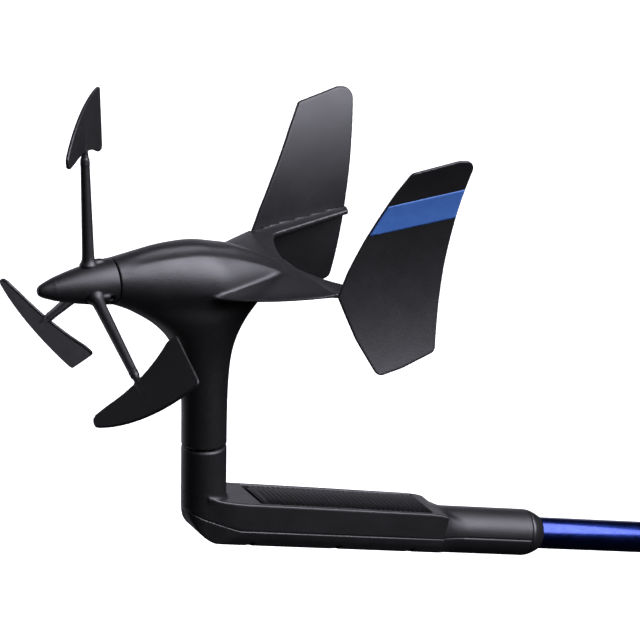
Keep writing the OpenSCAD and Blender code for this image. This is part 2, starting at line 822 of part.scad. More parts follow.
arm_upper_shell();
arm_lower_shell();
ribbed_top_panel();
shell_gasket();
shell_screws();
collar_end_ring();
boom_seal();
boom_tube();
boom_end_plug();
end_plug_seal();
contact_pins();
signal_cable();
circuit_board();
board_components();
board_screws();
yaw_spindle();
spindle_nut();
direction_sensor();
rotor_pickup();
spindle_clip();
lower_yaw_inner_race();
upper_yaw_inner_race();
yaw_bearing_spacer();
head_shell();
left_fin();
right_fin();
left_fin_band();
right_fin_band();
lower_yaw_outer_race();
upper_yaw_outer_race();
yaw_outer_spacer();
pylon_retaining_ring();
direction_magnet();
rotor_bearing_housing();
front_rotor_outer_race();
rear_rotor_outer_race();
shaft_seal();
spinner();
blade_top();
blade_left();
blade_right();
rotor_shaft();
spinner_grub_screw();
front_rotor_inner_race();
rear_rotor_inner_race();
rotor_bearing_spacer();
shaft_clip();
magnet_carrier();
rotor_magnet();
lower_yaw_balls();
upper_yaw_balls();
front_rotor_balls();
rear_rotor_balls();
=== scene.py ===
"""Masthead vane anemometer: the visual model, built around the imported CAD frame."""

import functools
import math

import bpy
import numpy as np
from mathutils import Matrix, Vector


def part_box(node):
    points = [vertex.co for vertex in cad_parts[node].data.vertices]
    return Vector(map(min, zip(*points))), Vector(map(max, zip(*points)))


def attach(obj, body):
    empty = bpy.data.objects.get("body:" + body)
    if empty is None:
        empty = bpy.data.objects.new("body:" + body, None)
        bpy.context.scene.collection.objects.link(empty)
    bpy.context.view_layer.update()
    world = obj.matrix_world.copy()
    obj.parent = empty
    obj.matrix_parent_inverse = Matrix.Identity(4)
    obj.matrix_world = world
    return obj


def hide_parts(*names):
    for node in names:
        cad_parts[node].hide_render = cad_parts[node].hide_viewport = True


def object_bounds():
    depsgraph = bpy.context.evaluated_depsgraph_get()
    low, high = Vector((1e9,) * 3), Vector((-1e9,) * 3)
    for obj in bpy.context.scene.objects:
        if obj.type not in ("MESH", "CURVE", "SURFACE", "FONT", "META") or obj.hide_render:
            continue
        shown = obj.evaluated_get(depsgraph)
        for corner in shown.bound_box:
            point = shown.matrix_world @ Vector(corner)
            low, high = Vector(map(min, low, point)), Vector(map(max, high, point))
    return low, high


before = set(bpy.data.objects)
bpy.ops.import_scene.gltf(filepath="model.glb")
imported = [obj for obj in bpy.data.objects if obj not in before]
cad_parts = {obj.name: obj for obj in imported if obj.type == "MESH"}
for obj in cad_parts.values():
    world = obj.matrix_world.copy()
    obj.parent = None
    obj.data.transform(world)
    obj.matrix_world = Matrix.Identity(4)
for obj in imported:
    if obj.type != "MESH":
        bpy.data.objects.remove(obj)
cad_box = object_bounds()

MM = 0.001
CELL = 0.6

# ---- where things are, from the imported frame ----


def middle(node):
    low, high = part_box(node)
    return (low + high) / 2


HEAD = Vector((middle("yaw_spindle").x, 0, middle("rotor_shaft").z))
MOUNT_AXIS = Vector((middle("boom_tube").x, 0, middle("boom_tube").z)).normalized()
SLOPE = math.atan2(MOUNT_AXIS.z, -MOUNT_AXIS.x)
SIN, COS = math.sin(SLOPE), math.cos(SLOPE)
ELBOW = Vector((HEAD.x, 0, -HEAD.x * math.tan(SLOPE)))
STEM_TOP = (HEAD - ELBOW).z / MM - 90.1


def from_head(points):
    return points * MM + np.array(HEAD)


def from_arm(points):
    s, y, h = points.T
    return np.stack([s * COS + h * SIN, y, h * COS - s * SIN], 1) * MM + np.array(ELBOW)


# ---- shape functions: distances in millimetres, negative inside ----


def smooth_max(a, b, k):
    share = np.clip(0.5 + 0.5 * (a - b) / k, 0, 1)
    return b + (a - b) * share + k * share * (1 - share)


def smooth_min(a, b, k):
    return -smooth_max(-a, -b, k)


def spline(xs, ys):
    """Natural cubic curve through the points, straight beyond its ends."""
    xs, ys = np.array(xs, float), np.array(ys, float)
    n, step, rise = len(xs), np.diff(xs), np.diff(ys) / np.diff(xs)
    system, right = np.eye(n), np.zeros(n)
    for i in range(1, n - 1):
        system[i, i - 1 : i + 2] = step[i - 1], 2 * (step[i - 1] + step[i]), step[i]
        right[i] = 6 * (rise[i] - rise[i - 1])
    bend = np.linalg.solve(system, right)
    start = rise[0] - step[0] * bend[1] / 6
    end = rise[-1] + step[-1] * bend[-2] / 6

    def at(x):
        i = np.clip(np.searchsorted(xs, x) - 1, 0, n - 2)
        held = np.clip(x, xs[0], xs[-1])
        a, b, w = xs[i + 1] - held, held - xs[i], step[i]
        curve = (bend[i] * a**3 + bend[i + 1] * b**3) / (6 * w)
        curve += (ys[i] / w - bend[i] * w / 6) * a + (ys[i + 1] / w - bend[i + 1] * w / 6) * b
        return curve + np.where(x < xs[0], start, end) * (x - held)

    return at


def bezier(a, b, c, d, n):
    t = np.linspace(0, 1, n + 1)[:, None]
    a, b, c, d = (np.array(p, float) for p in (a, b, c, d))
    return (1 - t) ** 3 * a + 3 * (1 - t) ** 2 * t * b + 3 * (1 - t) * t**2 * c + t**3 * d


def rounded(corners, n=8):
    """Closed outline from (x, y, corner radius) vertices."""
    points = np.array(corners, float)
    out = []
    for before, here, after in zip(np.roll(points, 1, 0), points, np.roll(points, -1, 0)):
        p, r = here[:2], here[2]
        if r == 0:
            out.append(p)
            continue
        u, v = before[:2] - p, after[:2] - p
        u, v = u / np.linalg.norm(u), v / np.linalg.norm(v)
        half = math.acos(np.dot(u, v)) / 2
        centre = p + (u + v) / np.linalg.norm(u + v) * r / math.sin(half)
        first, last = p + u * r / math.tan(half) - centre, p + v * r / math.tan(half) - centre
        a = math.atan2(first[1], first[0])
        turn = (math.atan2(last[1], last[0]) - a + math.pi) % (2 * math.pi) - math.pi
        out += [centre + r * np.array([math.cos(a + turn * i / n), math.sin(a + turn * i / n)])
                for i in range(n + 1)]
    return np.array(out)


def outline_distance(points, u, v):
    """Signed distance in the plane from a closed outline, negative inside."""
    shape = np.broadcast(u, v).shape
    nearest, inside = np.full(shape, 1e9), np.zeros(shape, bool)
    for (ax, ay), (bx, by) in zip(points, np.roll(points, -1, 0)):
        ex, ey = bx - ax, by - ay
        t = np.clip(((u - ax) * ex + (v - ay) * ey) / (ex * ex + ey * ey + 1e-12), 0, 1)
        nearest = np.minimum(nearest, (u - ax - t * ex) ** 2 + (v - ay - t * ey) ** 2)
        if ay != by:
            inside ^= ((ay > v) != (by > v)) & (u < ex * (v - ay) / ey + ax)
    return np.where(inside, -1, 1) * np.sqrt(nearest)


def slab(edge, across, half, r):
    """Plate of a given half thickness whose rim is rounded with radius r."""
    a, b = edge + r, np.abs(across) - half + r
    return np.hypot(np.maximum(a, 0), np.maximum(b, 0)) + np.minimum(np.maximum(a, b), 0) - r


def capsule(x, y, z, low, high, low_r, high_r):
    """Tapered rod along z."""
    share = np.clip((z - low) / (high - low), 0, 1)
    radius = low_r + (high_r - low_r) * share
    return np.maximum(np.hypot(x, y) - radius, np.maximum(low - z, z - high))


# ---- meshing ----


CORNERS = [(i, j, k) for i in (0, 1) for j in (0, 1) for k in (0, 1)]
EDGES = [(a, b) for a in CORNERS for b in CORNERS if sum(b) - sum(a) == 1 and
         sum(abs(p - q) for p, q in zip(a, b)) == 1]


def surface_net(field, low, high, cell):
    """Vertices and outward quads of the surface where the field is zero."""
    axes = [np.arange(a - cell, b + 2 * cell, cell) for a, b in zip(low, high)]
    start = np.array([axis[0] for axis in axes])
    size = [len(axis) for axis in axes]
    x, y, z = axes[0][:, None, None], axes[1][None, :, None], axes[2][None, None, :]
    value = np.array(np.broadcast_to(field(x, y, z), size), np.float32)
    inside = value < 0
    count = sum(inside[i : size[0] - 1 + i, j : size[1] - 1 + j, k : size[2] - 1 + k].astype(np.int8)
                for i, j, k in CORNERS)
    active = (count > 0) & (count < 8)
    number = np.full(active.shape, -1, np.int64)
    number[active] = np.arange(active.sum())
    base = np.stack(np.nonzero(active), 1)
    total, hits = np.zeros(base.shape), np.zeros(len(base))
    for a, b in EDGES:
        va, vb = (value[tuple((base + np.array(c)).T)] for c in (a, b))
        cross = (va < 0) != (vb < 0)
        share = np.where(cross, va / np.where(cross, va - vb, 1), 0)
        at = np.array(a) + share[:, None] * (np.array(b) - np.array(a))
        total += at * cross[:, None]
        hits += cross
    verts = start + cell * (base + total / hits[:, None])
    quads = []
    for axis in range(3):
        u, v = (axis + 1) % 3, (axis + 2) % 3
        low_side = np.moveaxis(inside, (axis, u, v), (0, 1, 2))
        cells = np.moveaxis(number, (axis, u, v), (0, 1, 2))
        first, second = low_side[:-1, 1:-1, 1:-1], low_side[1:, 1:-1, 1:-1]
        i, j, k = np.nonzero(first != second)
        ring = np.stack([cells[i, j, k], cells[i, j + 1, k], cells[i, j + 1, k + 1], cells[i, j, k + 1]], 1)
        quads.append(np.where(first[i, j, k][:, None], ring, ring[:, ::-1]))
    return verts, np.concatenate(quads)


def settle(field, verts, cell):
    """Moves the vertices onto the surface."""
    h = 0.02
    for _ in range(4):
        x, y, z = verts.T
        slope = np.stack([field(x + h, y, z) - field(x - h, y, z), field(x, y + h, z) - field(x, y - h, z),
                          field(x, y, z + h) - field(x, y, z - h)], 1) / (2 * h)
        push = field(x, y, z)[:, None] * slope / np.maximum((slope**2).sum(1), 0.05)[:, None]
        verts = verts - np.clip(push, -cell / 2, cell / 2)
    return verts


def piece(name, points, faces, body, material, *nodes):
    """A smooth-shaded mesh object, in place, riding on a body and standing for its CAD nodes."""
    mesh = bpy.data.meshes.new(name)
    mesh.from_pydata([tuple(p) for p in points], [], [tuple(int(i) for i in f) for f in faces])
    mesh.polygons.foreach_set("use_smooth", [True] * len(mesh.polygons))
    mesh.materials.append(material)
    mesh.update()
    made = bpy.data.objects.new(name, mesh)
    bpy.context.scene.collection.objects.link(made)
    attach(made, body)
    if nodes:
        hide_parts(*nodes)
    return made


def moulded_piece(name, field, low, high, place, body, material, nodes, cell=CELL):
    verts, quads = surface_net(field, low, high, cell)
    return piece(name, place(settle(field, verts, cell)), quads, body, material, *nodes)


def sheet_faces(rows, wide):
    """Faces that close two layers of a grid of points into one shell."""
    total = rows * wide
    cells = [(i * wide + j, i * wide + j + 1, (i + 1) * wide + j + 1, (i + 1) * wide + j)
             for i in range(rows - 1) for j in range(wide - 1)]
    rim = ([(0, j) for j in range(wide - 1)] + [(i, wide - 1) for i in range(rows - 1)] +
           [(rows - 1, wide - 1 - j) for j in range(wide - 1)] + [(rows - 1 - i, 0) for i in range(rows - 1)])
    rim = [i * wide + j for i, j in rim]
    walls = [(a, b, b + total, a + total) for a, b in zip(rim, rim[1:] + rim[:1])]
    return [c[::-1] for c in cells] + [tuple(k + total for k in c) for c in cells] + walls


def lathe(name, profile, body, material, nodes, segments=128):
    """Closed (s, radius) profile turned about the boom's axis."""
    rows = len(profile)
    angle = np.linspace(0, 2 * math.pi, segments, endpoint=False)
    s, r = np.array(profile, float).T
    points = np.stack([np.repeat(s, segments), (r[:, None] * np.cos(angle)).ravel(),
                       (r[:, None] * np.sin(angle)).ravel()], 1)
    faces = []
    for i in range(rows):
        j = (i + 1) % rows
        for k in range(segments):
            m = (k + 1) % segments
            faces.append((i * segments + k, i * segments + m, j * segments + m, j * segments + k))
    return piece(name, from_arm(points), faces, body, material, *nodes)


# ---- materials ----


class Shader:
    """A node material on one Principled shader."""

    def __init__(self, name, **values):
        self.material = bpy.data.materials.new(name)
        self.material.use_nodes = True
        self.nodes, self.links = self.material.node_tree.nodes, self.material.node_tree.links
        self.shader = self.nodes["Principled BSDF"]
        for socket, value in values.items():
            self.shader.inputs[socket.replace("_", " ")].default_value = value
        self.place = self.nodes.new("ShaderNodeTexCoord").outputs["Object"]

    def noise(self, scale, detail=2.0, rough=0.5, stretch=None):
        node = self.nodes.new("ShaderNodeTexNoise")
        node.inputs["Scale"].default_value = scale
        node.inputs["Detail"].default_value = detail
        node.inputs["Roughness"].default_value = rough
        place = self.place
        if stretch:
            mapping = self.nodes.new("ShaderNodeMapping")
            mapping.inputs["Rotation"].default_value = (0, SLOPE, 0)
            mapping.inputs["Scale"].default_value = stretch
            self.links.new(place, mapping.inputs["Vector"])
            place = mapping.outputs["Vector"]
        self.links.new(place, node.inputs["Vector"])
        return node.outputs["Fac"]

    def ramp(self, source, stops):
        node = self.nodes.new("ShaderNodeValToRGB")
        self.links.new(source, node.inputs["Fac"])
        elements = node.color_ramp.elements
        for element, (at, colour) in zip(elements, stops):
            element.position, element.color = at, (*colour, 1)
        return node.outputs["Color"]

    def spread(self, source, low, high):
        node = self.nodes.new("ShaderNodeMapRange")
        node.inputs["From Min"].default_value = 0.25
        node.inputs["From Max"].default_value = 0.75
        node.inputs["To Min"].default_value = low
        node.inputs["To Max"].default_value = high
        self.links.new(source, node.inputs["Value"])
        return node.outputs["Result"]

    def colour(self, source):
        self.links.new(source, self.shader.inputs["Base Color"])

    def roughness(self, source):
        self.links.new(source, self.shader.inputs["Roughness"])

    def bump(self, source, depth, strength=1.0):
        node = self.nodes.new("ShaderNodeBump")
        node.inputs["Distance"].default_value = depth
        node.inputs["Strength"].default_value = strength
        last = self.shader.inputs["Normal"].links
        if last:
            self.links.new(last[0].from_socket, node.inputs["Normal"])
        self.links.new(source, node.inputs["Height"])
        self.links.new(node.outputs["Normal"], self.shader.inputs["Normal"])


def moulded(name, dark, light, rough, stipple=0.00003, specular=0.5):
    """Stippled black plastic: fine grain, slight colour drift and uneven gloss."""
    made = Shader(name, Specular_IOR_Level=specular)
    grain = made.noise(2100, 3, 0.6)
    made.colour(made.ramp(made.noise(260, 4, 0.7), ((0.3, dark), (0.75, light))))
    made.roughness(made.spread(made.noise(90, 3), rough - 0.035, rough + 0.035))
    made.bump(grain, stipple)
    return made.material


def metal(name, dark, light, rough, scale=(3000, 400, 400)):
    """Turned or drawn metal with fine lines."""
    made = Shader(name, Metallic=1.0)
    lines = made.noise(1, 3, 0.6, scale)
    made.colour(made.ramp(lines, ((0.3, dark), (0.7, light))))
    made.roughness(made.spread(lines, rough * 0.7, rough * 1.3))
    made.bump(lines, 0.00001, 0.5)
    return made.material


def anodised(name):
    """Glossy blue anodised tube with faint draw lines along it."""
    made = Shader(name, Metallic=1.0, Coat_Weight=0.25, Coat_Roughness=0.12)
    lines = made.noise(1, 3, 0.6, (30, 2200, 2200))
    made.colour(made.ramp(lines, ((0.3, (0.007, 0.014, 0.08)), (0.75, (0.013, 0.027, 0.15)))))
    made.roughness(made.spread(made.noise(300, 3), 0.26, 0.36))
    made.bump(lines, 0.000006, 0.6)
    return made.material


def simple(name, dark, light, rough, scale=400, bump=0.00003, metallic=0.0):
    """Small inner parts: mottled colour with a light surface texture."""
    made = Shader(name, Metallic=metallic)
    texture = made.noise(scale, 4, 0.6)
    made.colour(made.ramp(texture, ((0.3, dark), (0.7, light))))
    made.roughness(made.spread(texture, rough - 0.08, rough + 0.08))
    made.bump(texture, bump)
    return made.material


DARK, DIM = (0.003, 0.003, 0.0031), (0.0052, 0.0051, 0.0053)
GREY, PALE = (0.0036, 0.0035, 0.0037), (0.006, 0.0059, 0.0062)

LOOKS = {
    "shell_plastic": moulded("shell_plastic", (0.0034, 0.0033, 0.0034), (0.0058, 0.0057, 0.006), 0.46,
                             0.00008),
    "fin_plastic": moulded("fin_plastic", GREY, PALE, 0.48, 0.00007),
    "blade_plastic": moulded("blade_plastic", DARK, DIM, 0.47, 0.00007),
    "panel_plastic": moulded("panel_plastic", DARK, DIM, 0.34, 0.00003),
    "ring_plastic": moulded("ring_plastic", GREY, PALE, 0.42, 0.000015),
    "black_steel": metal("black_steel", (0.012, 0.012, 0.013), (0.03, 0.03, 0.031), 0.4),
    "seal_rubber": simple("seal_rubber", (0.008, 0.008, 0.008), (0.018, 0.018, 0.018), 0.7),
    "anodised_blue": anodised("anodised_blue"),
    "band_blue": moulded("band_blue", (0.03, 0.085, 0.26), (0.04, 0.105, 0.3), 0.5, 0.000015, 0.3),
    "stainless": metal("stainless", (0.5, 0.5, 0.49), (0.68, 0.68, 0.67), 0.28),
    "spring_steel": metal("spring_steel", (0.3, 0.3, 0.31), (0.45, 0.45, 0.46), 0.35),
    "bearing_steel": metal("bearing_steel", (0.58, 0.58, 0.58), (0.75, 0.75, 0.76), 0.16),
    "alloy": metal("alloy", (0.55, 0.56, 0.57), (0.7, 0.71, 0.72), 0.38),
    "ferrite": simple("ferrite", (0.035, 0.035, 0.037), (0.08, 0.08, 0.082), 0.55, 700),
    "gold_contact": metal("gold_contact", (0.75, 0.5, 0.16), (0.9, 0.65, 0.25), 0.2),
    "cable_jacket": simple("cable_jacket", (0.01, 0.01, 0.011), (0.022, 0.022, 0.023), 0.5, 900),
    "circuit_green": simple("circuit_green", (0.008, 0.07, 0.025), (0.015, 0.11, 0.04), 0.35, 250),
    "chip_black": simple("chip_black", (0.012, 0.012, 0.013), (0.025, 0.025, 0.026), 0.5, 1200),
    "white_plastic": simple("white_plastic", (0.62, 0.61, 0.57), (0.72, 0.71, 0.67), 0.45, 500),
}

# ---- turning head ----

NACELLE_FRONT = (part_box("head_shell")[0].x - HEAD.x) / MM
NACELLE_REAR = 42.6
WING_RISE, WING_LEVEL, WING_LEVEL_X = 0.096, -4.7, 45.6
FIN_Y, FIN_R, FIN_HALF, FIN_EDGE_R = 48.5, 150.0, 0.9, 0.45
FIN_AXIS_Y, FIN_AXIS_Z = FIN_Y + FIN_R, 0.8
FIN_PIVOT_X, FIN_TOE = 55.0, math.radians(4.4)
TOE_SIN, TOE_COS = math.sin(FIN_TOE), math.cos(FIN_TOE)
YAW_BORE, SPINDLE_BORE, HOUSING_BORE, SHAFT_BORE = 8.0, 5.6, 7.0, 3.4

# Nacelle sections along x: top and bottom lines, half width and the level of the widest line.
# The crease is the soft edge where the roof meets the flank.

nacelle_x = [-47.2, -43.4, -38.4, -33.3, -28.2, -20.5, -12.9, -5, 2.5, 10, 18, 26, 34, 41, 46]
nacelle_top = spline(nacelle_x, [11.1, 11.7, 12.6, 13.4, 14.1, 14.8, 15.1, 14.7, 13.4, 11, 7.7, 4,
                                 0, -3.2, -5])
nacelle_low = spline(nacelle_x, [11.1, 12.2, 13.6, 15, 16.4, 17.6, 17.6, 17, 16, 14.6, 13, 11.2, 9, 7, 5.8])
nacelle_half = spline(nacelle_x, [11.1, 11.9, 13, 14, 14.9, 16.2, 17.4, 18.3, 18.6, 17.3, 15.6, 13.9,
                                  12.3, 9, 4])
nacelle_level = spline(nacelle_x, [0, -0.4, -1.2, -2, -2.8, -4, -5.2, -6.2, -7, -7.4, -7.3, -6.8,
                                   -6.2, -5.6, -5.2])
crease_x = [-47.2, -42, -37, -32, -25, -16.5, -8.6, -0.6, 7.6, 15.9, 24.3, 32.5, 37, 46]
crease_y = spline(crease_x, [7.8, 8.1, 8.5, 9, 9.7, 10.3, 10.7, 11, 11, 11, 10.9, 10.7, 10.4, 7])
crease_z = spline(crease_x, [7.9, 8.7, 9.4, 9.9, 10.4, 10.6, 10.4, 9.3, 7.2, 4.6, 1.4, -2.3, -4.6, -8])
roof_shape = spline([0, 0.2, 0.35, 0.5, 0.65, 0.8, 1, 1.2], [1, 0.97, 0.87, 0.64, 0.39, 0.19, 0, -0.17])

pylon_z = [-89.3, -78, -66, -53, -45, -37.3, -31.6, -27, -22.3, -18, -13, -6]
pylon_front = spline(pylon_z, [10.95, 10.97, 11.1, 12.2, 13.8, 16.6, 20, 24, 29.2, 34.6, 38, 38.5])
pylon_rear = spline(pylon_z, [10.95, 11, 11.2, 11.9, 12.9, 14.9, 17.4, 20.2, 24, 28, 30, 30])
pylon_half = spline(pylon_z, [10.95, 10.95, 10.95, 11.3, 11.8, 12.8, 13.8, 14.6, 15.2, 15, 13.5, 11])

WING_EDGE = np.concatenate([[[-12, 0], [-6, 14]], bezier([-0.5, 21.2], [7, 31], [23, 41], [38, 46.6], 14),
                            [[46.2, 48.7], [98.2, 54.8], [99.3, 50], [98.6, 46.6], [97.6, 46.2], [61, 40.4]],
                            bezier([56.5, 39.7], [54, 39], [53.6, 37.4], [52.6, 35.2], 5),
                            bezier([51, 32], [47.6, 24.4], [43.3, 9], [43.2, 0], 9)])
WING_OUTLINE = np.concatenate([WING_EDGE, (WING_EDGE * [1, -1])[::-1]])
LEAD = WING_EDGE[:17]
LEAD_SHARE = 1 / np.sqrt(1 + np.gradient(LEAD[:, 0], LEAD[:, 1]) ** 2)


def nacelle(x, y, z):
    side = np.abs(y)
    level, half, low = nacelle_level(x), np.maximum(nacelle_half(x), 1), nacelle_low(x)
    yc, zc, top = crease_y(x), crease_z(x), nacelle_top(x)
    reach = np.sqrt(np.clip(1 - (yc / np.maximum(half, yc + 0.5)) ** 2, 0.05, 1))
    up = np.maximum((zc - level) / reach, 0.8)
    tall = np.where(z > level, up, np.maximum(low + level, 0.8))
    flank = (np.hypot(side / half, (z - level) / tall) - 1) * np.minimum(half, tall)
    u = side / yc
    circle = (np.sqrt(np.maximum(11.1**2 - (np.minimum(u, 1.3) * 7.8) ** 2, 0)) - 7.9) / 3.2
    share = np.clip((x + 46) / 14, 0, 1)
    profile = circle + (roof_shape(u) - circle) * share * share * (3 - 2 * share)
    roof = (z - zc - (top - zc) * profile) * 0.92
    body = np.maximum(smooth_max(flank, roof, 0.4), x - NACELLE_REAR)
    return smooth_max(body, NACELLE_FRONT - x, 0.4)


def pylon(x, y, z):
    reach = np.where(x < 0, pylon_front(z), pylon_rear(z))
    half = pylon_half(z)
    body = (np.hypot(x / reach, y / half) - 1) * np.minimum(reach, half)
    return smooth_max(np.maximum(body, z + 8), -89.3 - z, 0.5)


def toed(x, side):
    """x and distance from the middle plane, in the frame of the fin that spreads to that side."""
    dx, dy = x - FIN_PIVOT_X, side - FIN_Y
    return FIN_PIVOT_X + dx * TOE_COS + dy * TOE_SIN, FIN_Y + dy * TOE_COS - dx * TOE_SIN


def fin_depth(x, y, z):
    """Distance inwards from a fin's middle surface."""
    side = toed(x, np.abs(y))[1]
    return np.hypot(side - FIN_AXIS_Y, z - FIN_AXIS_Z) - FIN_R


def wing(x, y, z):
    """Swept plate with a rib along each fin and a crease ahead of its rear edge."""
    side = np.abs(y)
    edge = outline_distance(WING_OUTLINE, x, y)
    level = WING_LEVEL + WING_RISE * (x - WING_LEVEL_X)
    gap = np.maximum(fin_depth(x, y, z) - FIN_HALF, 0)
    behind = np.maximum(x - np.interp(side, [0, 10, 20, 33, 46], [41.2, 41.6, 42.4, 43.1, 43.6]), 0)
    drop = 1.1 * np.tanh(behind * 0.24)
    ahead = (x - np.interp(side, LEAD[:, 1], LEAD[:, 0])) * np.interp(side, LEAD[:, 1], LEAD_SHARE)
    lead = 1.0 * np.exp(-np.maximum(ahead, 0) / 3)
    thin = 0.35 * np.clip((x - 60) / 38, 0, 1)
    root = 1.5 * np.exp(-gap / 1.2) * np.clip((x - 44) / 4, 0, 1)
    top, low = level + 1.4 - drop - lead - thin + root, level - 1.2 - drop + lead * 0.8
    plate = smooth_max(smooth_max(z - top, low - z, 0.4), edge, 0.45)
    return np.maximum(plate, np.minimum(FIN_HALF - 0.1 - fin_depth(x, y, z), x - 46.3))


def drill(field, across, along, radius):
    """Takes a round hole out of a field; along is negative within the hole's length."""
    return np.maximum(field, -np.maximum(across - radius, along))


def head_skin(x, y, z):
    body = smooth_min(nacelle(x, y, z), pylon(x, y, z), 6)
    body = smooth_min(body, wing(x, y, z), 2.2)
    upright, lengthwise = np.hypot(x, y), np.hypot(y, z)
    body = drill(body, upright, z + 57, YAW_BORE)
    body = drill(body, upright, z + 8, SPINDLE_BORE)
    body = drill(body, lengthwise, x + 22, HOUSING_BORE)
    return drill(body, lengthwise, np.abs(x + 13) - 17, SHAFT_BORE)


FIN_EDGE = rounded([[45.9, -5.8, 3], [50.9, 6.5, 0], [58.1, 20.8, 0], [70.9, 44, 0], [77.6, 54.6, 3],
                    [100.8, 58.8, 0], [109.2, 58, 5], [104.4, 33.5, 0], [99.6, 5.7, 0], [96.7, -15.1, 0],
                    [93.9, -36.8, 3.4], [76.7, -42.5, 0], [64, -45, 3.8], [54.4, -27.1, 0]])


def fin(x, y, z):
    return slab(outline_distance(FIN_EDGE, toed(x, y)[0], z), fin_depth(x, y, z), FIN_HALF, FIN_EDGE_R)


def build_head():
    moulded_piece("head_skin", head_skin, (-48, -49.5, -90), (99, 49.5, 16), from_head, "vane",
                  LOOKS["shell_plastic"], ["head_shell"], CELL * 1.1)
    verts, quads = surface_net(fin, (44, 40, -46), (110, 68, 62), CELL)
    verts = settle(fin, verts, CELL)
    for name, side in (("left", -1), ("right", 1)):
        faces = quads if side > 0 else quads[:, ::-1]
        piece(name + "_tail_fin", from_head(verts * np.array([1, side, 1])), faces, "vane",
              LOOKS["fin_plastic"], name + "_fin")
        build_band(name, side)


def edge_crossings(z_at):
    """Where the slanted line z = z_at(x) enters and leaves the fin's outline."""
    found = []
    for a, b in zip(FIN_EDGE, np.roll(FIN_EDGE, -1, 0)):
        fa, fb = a[1] - z_at(a[0]), b[1] - z_at(b[0])
        if (fa < 0) != (fb < 0):
            found.append(a[0] + (b[0] - a[0]) * fa / (fa - fb))
    return min(found), max(found)


def build_band(name, side):
    """Plain blue band, a thin skin on the fin's outer face."""
    rows, columns, inset, thick, sunk = 16, 40, 0.45, 0.12, 0.03
    grid = []
    for v in np.linspace(0, 1, rows + 1):
        low, slope = 21.3 + 13.3 * v, 0.108 + 0.018 * v
        front, rear = edge_crossings(lambda x: low + slope * (x - 40))
        xs = np.linspace(front + inset, rear - inset, columns + 1)
        grid.append(np.stack([xs, low + slope * (xs - 40)], 1))
    x, z = np.concatenate(grid).T
    layers = []
    for radius in (FIN_R - FIN_HALF + sunk, FIN_R - FIN_HALF - thick):
        dx, dy = x - FIN_PIVOT_X, FIN_R - np.sqrt(radius**2 - (z - FIN_AXIS_Z) ** 2)
        layers.append(np.stack([FIN_PIVOT_X + dx * TOE_COS - dy * TOE_SIN,
                                side * (FIN_Y + dy * TOE_COS + dx * TOE_SIN), z], 1))
    faces = sheet_faces(rows + 1, columns + 1)
    faces = faces if side < 0 else [f[::-1] for f in faces]
    piece(name + "_blue_band", from_head(np.concatenate(layers)), faces, "vane", LOOKS["band_blue"],
          name + "_fin_band")


# ---- rotor ----

HUB_LOW, HUB_HIGH = ((corner.x - HEAD.x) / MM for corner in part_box("spinner"))
NOSE_LEN = 25.8
ROTOR_X = HUB_LOW + NOSE_LEN
HUB_REAR = HUB_HIGH - ROTOR_X
PHASE, PITCH = math.radians(4.0), math.radians(38.3)
BLADE_HALF, BLADE_EDGE_R = 0.8, 0.45
GRUB_X, GRUB_R, SHAFT_R = 7.5, 1.5, 2.0
hub_profile = np.concatenate([[[-NOSE_LEN, 0]],
                              bezier([-25.65, 1.4], [-25.1, 2.9], [-21.6, 4], [-19.2, 4.9], 10),
                              bezier([-18.2, 5.3], [-10.5, 7.6], [0, 10.1], [HUB_REAR, 11.05], 20)])
HUB_OUTLINE = np.concatenate([hub_profile, [[HUB_REAR, 0]], (hub_profile * [1, -1])[::-1][:-1]])
BLADE_EDGE = np.concatenate([[[-29, 64.6], [-29, 66.8]],
                             bezier([-27.8, 68.2], [-18, 77], [0, 86.4], [22.6, 87.9], 16),
                             rounded([[22.6, 87.9, 0], [26.8, 87.9, 2], [27.4, 57.4, 2.4], [22, 57.7, 0]]),
                             bezier([21, 58], [10, 62.8], [-4, 64.6], [-18, 62.2], 14),
                             [[-26, 61.6], [-28.2, 62.6]]])


def hub(x, y, z):
    """Spinner about x, with x measured from the blade plane."""
    return outline_distance(HUB_OUTLINE, x, np.hypot(y, z))


def spoke_turn(k):
    """Sine and cosine of spoke k's angle away from straight up."""
    angle = PHASE + k * 2 * math.pi / 3
    return math.sin(angle), math.cos(angle)


def turned(y, z, k):
    """y and z in the frame of spoke k, whose own z runs out along the spoke."""
    sine, cosine = spoke_turn(k)
    return y * cosine - z * sine, y * sine + z * cosine


def spinner(x, y, z):
    body = hub(x, y, z)
    for k in range(3):
        across, out = turned(y, z, k)
        tab = (np.sqrt(((x - 4.6) / 3.6) ** 2 + (across / 2.2) ** 2 + ((out - 10.4) / 1.25) ** 2) - 1) * 1.25
        body = smooth_min(body, tab, 0.8)
    across, out = turned(y, z, 2)
    body = drill(body, np.hypot(x - GRUB_X, across), 3 - out, GRUB_R)
    return drill(body, np.hypot(y, z), -9.5 - x, SHAFT_R)


def blade(x, y, z):
    turn = math.pi / 2 - PITCH
    chord, across = x * math.cos(turn) + y * math.sin(turn), y * math.cos(turn) - x * math.sin(turn)
    plate = slab(outline_distance(BLADE_EDGE, chord, z), across, BLADE_HALF, BLADE_EDGE_R)
    flare = 1.3 * np.exp(-np.maximum(z - 9.8, 0) / 1.2)
    spoke = capsule(x, y, z, 8, 60, 2.95, 2.1) - flare * (z < 30)
    tip = capsule(x, y, z, 57, 72.4, 2.2, 0.5)
    body = smooth_min(smooth_min(spoke, tip, 0.5), plate, 1.1)
    return np.maximum(body, -hub(x, y, z) - 0.35)


